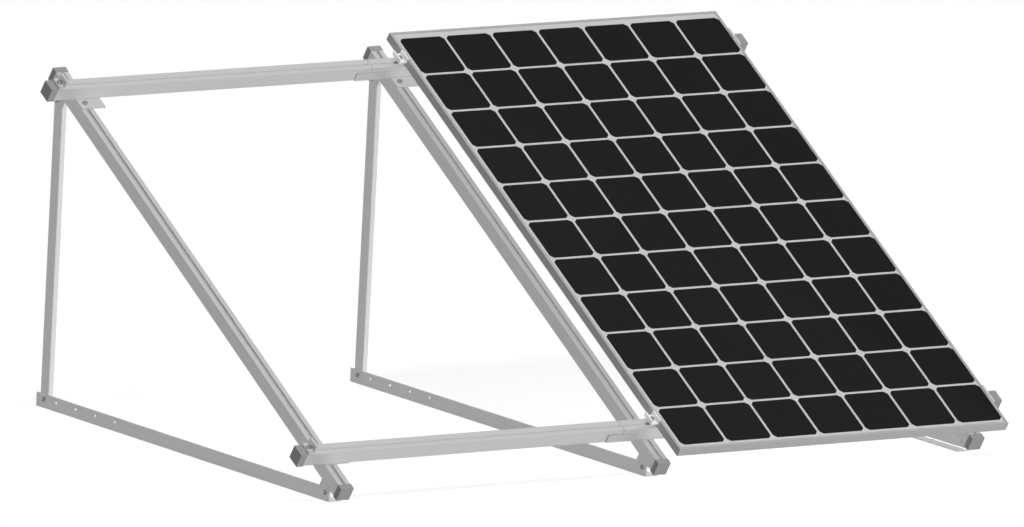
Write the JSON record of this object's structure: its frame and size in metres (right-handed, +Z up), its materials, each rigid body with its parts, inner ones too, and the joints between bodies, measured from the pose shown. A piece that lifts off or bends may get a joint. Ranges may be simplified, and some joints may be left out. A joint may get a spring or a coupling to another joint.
{
  "type": "solar panel tilt mount bracket",
  "caption": "Triangle-framed aluminium solar panel mount with slotted rails and clamps; one framed panel in its right bay, the left bay free.",
  "frame": {"origin": "on the floor, under the middle of the whole mount with its panel", "axes": "+X along the rails towards the bay that holds the panel, +Y from the low front edge to the high rear edge, +Z up"},
  "size_m": [2.385, 1.6052, 1.0164],
  "materials": {
    "extruded_aluminium": "satin mill finish with fine draw lines",
    "angle_aluminium": "satin mill finish",
    "plate_aluminium": "satin mill finish",
    "clamp_aluminium": "satin bright",
    "cap_plastic": "matte dark grey",
    "zinc_steel": "bluish zinc",
    "frame_aluminium": "satin anodised",
    "panel_glass": "clear, faintly textured",
    "solar_cell": "near-black silicon",
    "backsheet": "matte light grey",
    "box_plastic": "matte black"
  },
  "bodies": {
    "root": {"left_base_angle": "angle_aluminium", "middle_base_angle": "angle_aluminium", "right_base_angle": "angle_aluminium", "left_rear_post": "angle_aluminium", "middle_rear_post": "angle_aluminium", "right_rear_post": "angle_aluminium", "left_slope_beam": "extruded_aluminium", "middle_slope_beam": "extruded_aluminium", "right_slope_beam": "extruded_aluminium", "left_foot_bracket": "plate_aluminium", "middle_foot_bracket": "plate_aluminium", "right_foot_bracket": "plate_aluminium", "left_top_bracket": "plate_aluminium", "middle_top_bracket": "plate_aluminium", "right_top_bracket": "plate_aluminium", "left_beam_foot_cap": "cap_plastic", "middle_beam_foot_cap": "cap_plastic", "right_beam_foot_cap": "cap_plastic", "left_beam_top_cap": "cap_plastic", "middle_beam_top_cap": "cap_plastic", "right_beam_top_cap": "cap_plastic", "lower_left_rail_plate": "plate_aluminium", "lower_middle_rail_plate": "plate_aluminium", "lower_right_rail_plate": "plate_aluminium", "upper_left_rail_plate": "plate_aluminium", "upper_middle_rail_plate": "plate_aluminium", "upper_right_rail_plate": "plate_aluminium", "lower_rail_left": "extruded_aluminium", "lower_rail_right": "extruded_aluminium", "upper_rail_left": "extruded_aluminium", "upper_rail_right": "extruded_aluminium", "lower_rail_left_cap": "cap_plastic", "lower_rail_right_cap": "cap_plastic", "upper_rail_left_cap": "cap_plastic", "upper_rail_right_cap": "cap_plastic", "lower_splice_plate": "plate_aluminium", "upper_splice_plate": "plate_aluminium", "lower_left_end_clamp": "clamp_aluminium", "upper_left_end_clamp": "clamp_aluminium", "lower_mid_clamp": "clamp_aluminium", "upper_mid_clamp": "clamp_aluminium", "lower_right_end_clamp": "clamp_aluminium", "upper_right_end_clamp": "clamp_aluminium", "hinge_bolts": "zinc_steel", "hinge_nuts": "zinc_steel", "bracket_bolts": "zinc_steel", "plate_bolts": "zinc_steel", "splice_bolts": "zinc_steel", "clamp_bolts": "zinc_steel", "clamp_spacers": "zinc_steel", "slot_nuts": "zinc_steel", "panel_frame_left": "frame_aluminium", "panel_frame_right": "frame_aluminium", "panel_frame_lower": "frame_aluminium", "panel_frame_upper": "frame_aluminium", "panel_glass": "panel_glass", "solar_cells": "solar_cell", "panel_backsheet": "backsheet", "panel_junction_box": "box_plastic"}
  },
  "joints": []
}
